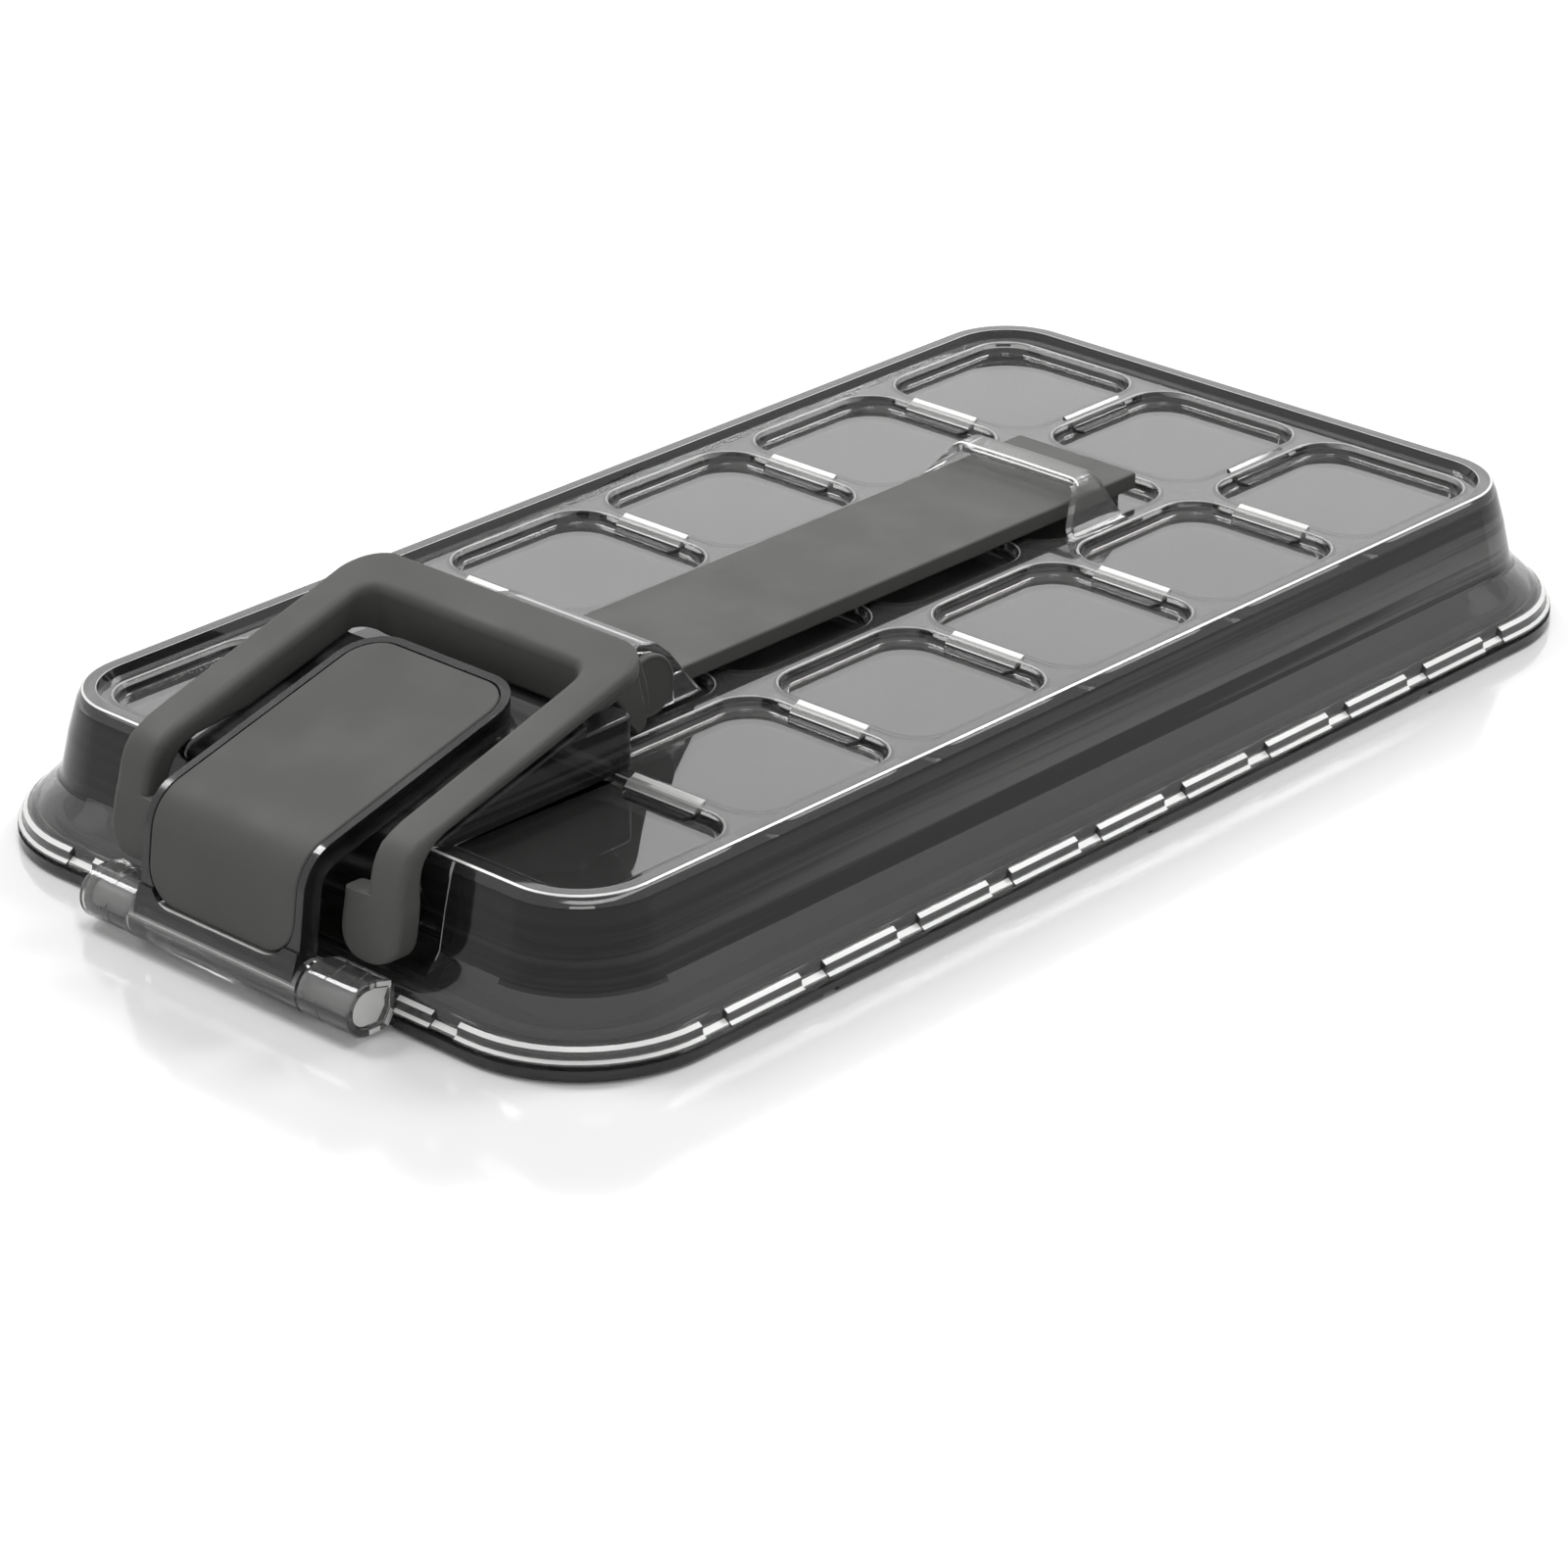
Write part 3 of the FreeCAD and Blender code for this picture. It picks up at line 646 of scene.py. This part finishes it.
def lever_sections():
    """Sections of the right half, from the middle of the cross bar to the foot."""
    sections = []

    def add(*corners):
        sections.append(soften_loop(corners, [1.5, 1.1, 0.8, 0.8, 1.9]))

    for x in (0.0, 10.0, 19.5, 21.5):
        add((x, BAR_REAR, lever_top(BAR_REAR)), (x, BAR_REAR, 44.0), (x, BAR_REAR - 1.9, 37.4),
            (x, BAR_FRONT, 37.4), (x, BAR_FRONT, lever_top(BAR_FRONT)))
    # Round the rear corner: an outer and an inner arc, and the underside between them.
    outer_r, inner_r = 8.0, 4.0
    outer_c = (ARM_OUT - outer_r, BAR_REAR - outer_r)
    inner_c = (ARM_IN - inner_r, BAR_FRONT - inner_r)
    for k in range(1, 10):
        turn = math.radians(90.0 - 10.0 * k)
        ox = outer_c[0] + outer_r * math.cos(turn)
        oy = outer_c[1] + outer_r * math.sin(turn)
        ix = inner_c[0] + inner_r * math.cos(turn)
        iy = inner_c[1] + inner_r * math.sin(turn)
        share = k / 9.0
        drop = 5.5 * (1.0 - share) + 2.3 * share
        deep = 9.6 * (1.0 - share) + 7.0 * share
        mid = 0.22 * (1.0 - share) + 0.6 * share
        bx, by = ox + (ix - ox) * mid, oy + (iy - oy) * mid
        add((ox, oy, lever_top(oy)), (ox, oy, lever_top(oy) - drop),
            (bx, by, lever_top(by) - deep), (ix, iy, lever_top(iy) - deep),
            (ix, iy, lever_top(iy)))
    # The arm's straight part: Y of its top and its underside, its depth and its wedge.
    straight = ((-94.5, -94.5, 7.0, 1.0), (-106.0, -106.0, 6.9, 1.0),
                (-118.0, -117.6, 6.4, 1.0), (-127.0, -125.6, 4.6, 0.9))
    side = [((y, lever_top(y)), (under_y, lever_top(y) - deep), wedge)
            for y, under_y, deep, wedge in straight]
    # The bend over the front: points of its top and its underside, and its wedge.
    side += [
        ((-131.5, lever_top(-131.5)), (-129.6, 30.6), 0.8),
        ((-134.2, lever_top(-134.2)), (-131.9, 29.9), 0.65),
        ((-136.6, 32.4), (-133.6, 29.0), 0.5),
        ((-138.6, 31.2), (-134.8, 27.9), 0.4),
        ((-140.0, 29.4), (-135.6, 26.7), 0.3),
        ((-140.9, 27.4), (-136.3, 25.3), 0.2),
        ((-141.6, 24.8), (-136.8, 23.8), 0.1),
        ((-142.1, 22.7), (-137.2, 22.5), 0.0),
    ]
    for (ty, tz), (by, bz), wedge in side:
        add(*arm_corners(ty, tz, by, bz, wedge, ARM_IN, ARM_OUT))
    # The foot, wider on its inner side, with rounded lower corners.
    for z in (22.25, 20.0, 18.0, 16.4, 15.2, 14.2, 13.4, 12.7, 12.1, 11.7, 11.45):
        up = min(FOOT_CORNER, z - FOOT_LOW)
        inset = FOOT_CORNER - math.sqrt(max(0.0, FOOT_CORNER ** 2 - (FOOT_CORNER - up) ** 2))
        share = (FOOT_HIGH - z) / (FOOT_HIGH - FOOT_LOW)
        ty = -142.2 - 2.1 * share
        by = -137.4 - 2.0 * share
        wide = 0.4 if z < 22.2 else 0.2
        add(*arm_corners(ty, z, by, z - 0.15, 0.0, FOOT_INSIDE + inset, ARM_OUT + wide - inset))
    return sections


def build_lever():
    """The frame, and on each side a leg that reaches down to the pivot: a fin, and a
    thinner flange behind it. Each has its outline in Y and Z, its middle, and the insets
    of that outline at steps of X."""
    right = lever_sections()
    left = [[Vector((-p.x, p.y, p.z)) for p in section] for section in right[1:]]
    bm = sweep(list(reversed(left)) + right)
    fin = ([(-84.5, 43.5), (-80.8, 46.6), (-76.6, 45.6), (-74.9, 42.0), (-73.0, 34.0),
            (-72.4, 29.8), (-74.6, 28.2), (-77.0, 30.6), (-79.4, 35.4), (-82.0, 38.6),
            (-84.0, 38.8)],
           (-76.5, 37.5),
           ((20.45, 0.5), (20.9, 0.0), (25.2, 0.0), (25.9, 0.3), (26.2, 0.9)))
    flange = ([(-79.0, 45.6), (-75.0, 45.0), (-71.0, 41.6), (-69.0, 36.0), (-68.2, 30.4),
               (-70.4, 27.4), (-74.0, 28.2), (-76.0, 32.0), (-78.0, 38.0)],
              (-72.5, 35.5),
              ((20.45, 0.4), (20.8, 0.0), (22.2, 0.0), (22.6, 0.2), (22.8, 0.6)))
    for side in (-1, 1):
        for shape, middle, steps in (fin, flange):
            middle = Vector(middle)
            sections = []
            for x, inset in steps:
                ring = []
                for point in soften_loop(shape, [1.2] * len(shape), 3):
                    away = point - middle
                    ring.append((side * x, *(middle + away * (1.0 - inset / away.length))))
                sections.append(ring)
            add_sweep(bm, sections)
    make_piece("lever", bm, grey, "lever", ["lever_frame"])


build_lever()


# The pivot.
PIVOT_Y, PIVOT_Z = -65.6, 33.0


def turned(profile, axis_y, axis_z, steps=36):
    """Sections of a body turned about an axis along X, from pairs of position and radius."""
    sections = []
    for x, radius in profile:
        sections.append([(x, axis_y + radius * math.cos(math.tau * k / steps),
                          axis_z + radius * math.sin(math.tau * k / steps))
                         for k in range(steps)])
    return sections


def build_pivot():
    """The axle between the legs, and the discs at its ends with a fine rolled rim."""
    axle = [(-19.7, 1.6), (-19.6, 1.9), (19.6, 1.9), (19.7, 1.6)]
    make_piece("axle", sweep(turned(axle, PIVOT_Y, PIVOT_Z, 24)), steel, "lever",
               ["lever_axle"])
    disc = [(18.45, 5.7), (18.6, 6.0), (19.75, 6.05), (20.0, 5.95), (20.15, 5.7),
            (20.15, 5.35), (20.0, 5.15)]
    for side, node in ((-1, "pivot_disc_left"), (1, "pivot_disc_right")):
        profile = [(side * x, radius) for x, radius in disc]
        make_piece(node + "_rim", sweep(turned(profile, PIVOT_Y, PIVOT_Z)), grey, "lever",
                   [node])


build_pivot()


# The hump under the lid, with the spout's mouth. Its top slopes with the lid, and
# steps down to a level face under the lever's cross bar.
HUMP_REAR, HUMP_FRONT = -80.5, -131.45
HUMP_SLOPE, HUMP_DROP = 0.27, 5.0
STEP_Y, STEP_Z = -92.6, 36.3
HUMP_CORNER, HUMP_EDGE = 2.5, 0.8
HUMP_FOOT = RIDGE + 0.01


def hump_top(y):
    return 42.3 + HUMP_SLOPE * (y + 95.0) - HUMP_DROP


def hump_outline(inset, radius):
    """The hump from above, with stations at the step under the cross bar. The third value
    of a station is true behind the step."""
    centre = (HUMP_REAR + HUMP_FRONT) / 2.0
    half_y = (HUMP_REAR - HUMP_FRONT) / 2.0
    points = rounded_square(HUMP_HALF - inset, half_y - inset, radius, 0.0, centre, 4)
    stations = []
    for i, (x, y) in enumerate(points):
        stations.append((x, y, y > STEP_Y))
        after = points[(i + 1) % len(points)]
        if (y > STEP_Y) != (after[1] > STEP_Y):
            stations.append((x, STEP_Y, y > STEP_Y))
            stations.append((x, STEP_Y, y < STEP_Y))
    return stations


def build_hump():
    """Outer and inner walls, each a ring that follows the top."""
    bm = bmesh.new()

    def ring(inset, drop, radius, flat=None):
        loop = []
        for x, y, low in hump_outline(inset, radius):
            z = flat if flat is not None else (STEP_Z if low else hump_top(y)) - drop
            loop.append(bm.verts.new((x, y, z)))
        return loop

    def cap(loop, drop):
        """The sloping face with the mouth, the lower face behind it, and the riser."""
        lows = [low for x, y, low in hump_outline(0.0, HUMP_CORNER)]
        start = next(i for i in range(len(loop)) if lows[i] and not lows[i - 1])
        ordered = list(zip(loop[start:] + loop[:start], lows[start:] + lows[:start]))
        rear = [vert for vert, low in ordered if low]
        front = [vert for vert, low in ordered if not low]
        bm.faces.new(rear)
        bm.faces.new((rear[-1], front[0], front[-1], rear[0]))
        mouth = rounded_square(15.5, 13.5, 2.0, 0.0, -113.5, 3)
        hole = [bm.verts.new((x, y, hump_top(y) - drop)) for x, y in mouth]
        fill(bm, [front, hole])
        return hole

    outer = [ring(0.0, 0.0, HUMP_CORNER, HUMP_FOOT)]
    for k in range(5):
        turn = math.radians(22.5 * k)
        outer.append(ring(HUMP_EDGE - HUMP_EDGE * math.cos(turn),
                          HUMP_EDGE - HUMP_EDGE * math.sin(turn),
                          HUMP_CORNER - HUMP_EDGE + HUMP_EDGE * math.cos(turn)))
    inner = [ring(WALL, 0.0, 1.2, HUMP_FOOT), ring(WALL, WALL, 1.2)]
    for a, b in zip(outer, outer[1:]):
        skin(bm, a, b)
    skin(bm, inner[0], inner[1])
    skin(bm, outer[0], inner[0])
    upper = cap(outer[-1], 0.0)
    lower = cap(inner[1], WALL)
    skin(bm, upper, lower)
    make_piece("hump", bm, hump_painted_shade, "cover")


build_hump()


STRIP_HALF, LEDGE_HALF, LEDGE_SLANT = 8.25, 8.6, 1.6


def build_water_steps():
    """Chamfered steps in the ridges, over which water runs from cell to cell. A place has
    its centre, and whether the step lies on a ridge along the tray."""
    strip = [(0.6, 25.1), (0.6, 26.75), (0.3, 26.95), (-2.4, 25.3), (-2.4, 25.1)]
    ledge = [(0.3, 25.0), (-2.9, 24.95), (-4.1, 24.5), (-4.1, 23.6), (0.3, 23.4)]
    plain = [(x, y, False) for x in (-PITCH, PITCH) for y in (-84.0, -42.0, 0.0, 42.0, 84.0)]
    crossed = [(-21.0, 105.0, True), (21.0, 105.0, True)]
    for name, profile, half, slant, places, material in (
            # The strips along the ridges are painted highlights; the ledges and the cross strips
            # are smoke plastic.
            ("water_strips", strip, STRIP_HALF, 0.0, plain, painted_highlight),
            ("water_ledges", ledge, LEDGE_HALF, LEDGE_SLANT, plain + crossed, smoke_thin),
            ("cross_strips", strip, STRIP_HALF, 0.0, crossed, smoke_thin)):
        bm = bmesh.new()
        rounded = soften_loop([(u, z, 0.0) for u, z in profile], [0.12] * len(profile), 2)
        for cx, cy, lengthwise in places:
            sections = []
            for end, shrink in ((-1, 0.1), (-1, 0.0), (1, 0.0), (1, 0.1)):
                section = []
                for point in rounded:
                    u = point.x + (shrink if point.x < 0 else -shrink)
                    z = point.y + (shrink if point.y < 24.0 else -shrink)
                    narrower = slant * max(0.0, -point.x - 2.5) / LEDGE_SLANT
                    reach = end * (half + shrink - narrower)
                    section.append((cx - u, cy + reach, z) if lengthwise
                                   else (cx + reach, cy + u, z))
                sections.append(section)
            add_sweep(bm, sections)
        make_piece(name, bm, material, "cover")


build_water_steps()


BRIDGE_THICK = 1.7
BRIDGE_FOOT = 26.47


def build_bridge():
    """The clear bridge over the draw bar: a thin band that widens into feet."""
    path = [(-22.0, BRIDGE_FOOT), (-21.2, 27.2), (-19.4, 28.2), (-17.6, 31.2), (-16.2, 33.9),
            (-14.4, 35.0), (0.0, 35.1)]
    path += [(-x, z) for x, z in reversed(path[:-1])]
    path = [(p.x, p.y) for p in soften([(x, z, 0.0) for x, z in path], 1.2, 3)]
    sections = []
    for i, (x, z) in enumerate(path):
        before, after = path[max(0, i - 1)], path[min(len(path) - 1, i + 1)]
        along = Vector((after[0] - before[0], after[1] - before[1])).normalized()
        share = min(1.0, max(0.0, (34.9 - z) / 8.4)) ** 1.3
        front = 56.4 - 8.4 * share
        rear = 62.6 + 2.4 * share
        lift = 0.0 if z > 27.5 else 0.3
        under_x = x + along.y * BRIDGE_THICK
        under_z = max(BRIDGE_FOOT, z - along.x * BRIDGE_THICK)
        sections.append([(x, front + 0.35, z - 0.2), (x, front + 0.8, z), (x, rear - 0.6, z),
                         (x, rear, z - 0.35), (under_x, rear, under_z),
                         (under_x, front, under_z), (x, front, z - 0.5 - lift)])
    obj = make_piece("bridge", sweep(sections), bridge_look, "cover", ["far_bridge"])
    # A painted highlight on the front chamfer of the top.
    obj.data.materials.append(painted_highlight)
    for poly in obj.data.polygons:
        if 0.8 < poly.normal.z < 0.97 and poly.normal.y < -0.2 and poly.center.z > 34.0 * MM:
            poly.material_index = 1


build_bridge()


# The rail round the flange, from the right of the hinge to its left.
RAIL_END = 34.5
RAIL_PITCH = 24.2
GAP_HALF, GAP_RAMP = 3.0, 0.08
RAIL_ARC_STEPS = 14


def rail_stations():
    """Stations of the rail: centre, outward direction, and whether it is a gap."""
    result = []

    def side(start, stop, centres, place, normal):
        forward = 1 if stop > start else -1
        cuts = [(c - GAP_HALF * forward, True) for c in centres]
        cuts += [(c + GAP_HALF * forward, False) for c in centres]
        cuts.sort(key=lambda cut: cut[0] * forward)
        result.append((*place(start), *normal, False))
        for position, into in cuts:
            result.append((*place(position - GAP_RAMP * forward), *normal, not into))
            result.append((*place(position + GAP_RAMP * forward), *normal, into))
        result.append((*place(stop), *normal, False))

    def corner(cx, cy, first):
        for k in range(1, RAIL_ARC_STEPS):
            turn = math.radians(first + 90.0 * k / RAIL_ARC_STEPS)
            result.append((cx, cy, math.cos(turn), math.sin(turn), False))

    long_side = [-14.6 + RAIL_PITCH * i for i in range(-4, 6)]
    short_side = [RAIL_PITCH * i + 12.1 for i in (-2, -1, 0, 1)]
    side(RAIL_END, CORNER_X, [46.0], lambda t: (t, -CORNER_Y), (0.0, -1.0))
    corner(CORNER_X, -CORNER_Y, 270.0)
    side(-CORNER_Y, CORNER_Y, long_side, lambda t: (CORNER_X, t), (1.0, 0.0))
    corner(CORNER_X, CORNER_Y, 0.0)
    side(CORNER_X, -CORNER_X, short_side, lambda t: (t, CORNER_Y), (0.0, 1.0))
    corner(-CORNER_X, CORNER_Y, 90.0)
    side(CORNER_Y, -CORNER_Y, long_side, lambda t: (-CORNER_X, t), (-1.0, 0.0))
    corner(-CORNER_X, -CORNER_Y, 180.0)
    side(-CORNER_X, -RAIL_END, [-46.0], lambda t: (t, -CORNER_Y), (0.0, -1.0))
    return result


def build_rail():
    """The beaded rail: blocks with a chamfered top, and lower gaps between them."""
    block = [(25.2, 2.95), (27.78, 2.95), (27.78, 3.3), (26.9, 3.9), (26.85, 5.2), (25.9, 5.85),
             (25.2, 5.95)]
    gap = [(25.2, 2.95), (27.3, 2.95), (27.3, 3.2), (27.15, 3.5), (26.1, 4.2), (25.9, 4.4),
           (25.2, 4.5)]
    radii = [0.1, 0.1, 0.1, 0.2, 0.1, 0.15, 0.2]
    sections = []
    for cx, cy, nx, ny, in_gap in rail_stations():
        shape = soften_loop([(r, z, 0.0) for r, z in (gap if in_gap else block)], radii, 3)
        sections.append([(cx + p.x * nx, cy + p.x * ny, p.y) for p in shape])
    obj = make_piece("rail", sweep(sections), rail_look, "cover", ["rim_rail"])
    # Painted highlights on the chamfers of the blocks and the gaps.
    obj.data.materials.append(painted_highlight)
    for poly in obj.data.polygons:
        height = poly.center.z / MM
        if 0.75 < poly.normal.z < 0.92 and (5.2 < height < 5.9 or 3.3 < height < 4.3):
            poly.material_index = 1


build_rail()


# The cover's hinge knuckles.
HINGE_Y, HINGE_Z, HINGE_R = -148.1, 5.2, 4.9
KNUCKLE_INNER, KNUCKLE_OUTER = 21.4, 34.0


def knuckle_outline(inset):
    """A knuckle in the side view: round in front, flat below, running back to the wall."""
    r = HINGE_R - inset
    points = []
    for k in range(17):
        turn = math.radians(90.0 + 180.0 * k / 16)
        points.append((HINGE_Y + r * math.cos(turn), HINGE_Z + r * math.sin(turn)))
    back = -141.9 - inset
    points += [(HINGE_Y + 2.5, HINGE_Z - r), (back - 1.6, HINGE_Z - r + 0.1), (back, 2.7 + inset),
               (back, 5.0), (back, 7.6 - inset), (-142.8, 9.2 - inset),
               (HINGE_Y + 2.0, HINGE_Z + r)]
    return points


def build_knuckle(side):
    """One knuckle, with a fine groove and a sunk end. Steps are pairs of X and inset."""
    steps = ((KNUCKLE_INNER, 0.3), (KNUCKLE_INNER + 0.3, 0.0), (26.2, 0.0), (26.3, 0.12),
             (26.7, 0.12), (26.8, 0.0), (KNUCKLE_OUTER - 0.3, 0.0), (KNUCKLE_OUTER, 0.3),
             (KNUCKLE_OUTER, 1.2), (KNUCKLE_OUTER - 0.15, 1.4), (KNUCKLE_OUTER - 0.7, 1.5),
             (KNUCKLE_OUTER - 0.8, 1.8))
    sections = [[(side * x, y, z) for y, z in knuckle_outline(inset)] for x, inset in steps]
    name = "right" if side > 0 else "left"
    obj = make_piece("knuckle_" + name, sweep(sections), rail_look, "cover",
                     ["hinge_knuckle_" + name])
    # The sunk end's face is a painted highlight.
    obj.data.materials.append(painted_highlight)
    for poly in obj.data.polygons:
        at_end = abs(poly.center.x) > (KNUCKLE_OUTER - 0.85) * MM
        if at_end and abs(poly.normal.x) > 0.95 and poly.area > 2e-6:
            poly.material_index = 1


for side in (-1, 1):
    build_knuckle(side)


# Floor and lamps, in metres and watts.
def build_floor():
    mesh = bpy.data.meshes.new("floor")
    mesh.from_pydata([(-6, -6, 0), (6, -6, 0), (6, 6, 0), (-6, 6, 0)], [], [(0, 1, 2, 3)])
    floor = bpy.data.objects.new("floor", mesh)
    floor.location.z = -0.0002
    scene.collection.objects.link(floor)
    mat, nodes, links, bsdf = new_material("floor")
    bsdf.inputs["Base Color"].default_value = (0.9, 0.9, 0.9, 1.0)
    bsdf.inputs["Roughness"].default_value = 0.12
    floor.data.materials.append(mat)


LAMP_TARGET = Vector((0.0, 0.0, 0.02))


def area(name, direction, distance, size_x, size_y, power):
    """A lamp that shines at the tray from a direction."""
    data = bpy.data.lights.new(name, "AREA")
    data.shape = "RECTANGLE"
    data.size = size_x
    data.size_y = size_y
    data.energy = power
    lamp = bpy.data.objects.new(name, data)
    lamp.location = LAMP_TARGET + Vector(direction).normalized() * distance
    lamp.rotation_euler = (-Vector(direction)).to_track_quat("-Z", "Y").to_euler()
    scene.collection.objects.link(lamp)


build_floor()
area("sheen", (-0.615, 0.666, 0.423), 2.5, 2.2, 1.0, 6.2)
area("key_left", (-0.615, -0.10, 0.78), 1.5, 0.42, 0.42, 8.0)
area("key_back", (0.10, 0.666, 0.735), 1.5, 0.42, 0.42, 8.0)
area("key_top", (0.015, 0.036, 1.0), 1.5, 0.4, 0.4, 4.0)
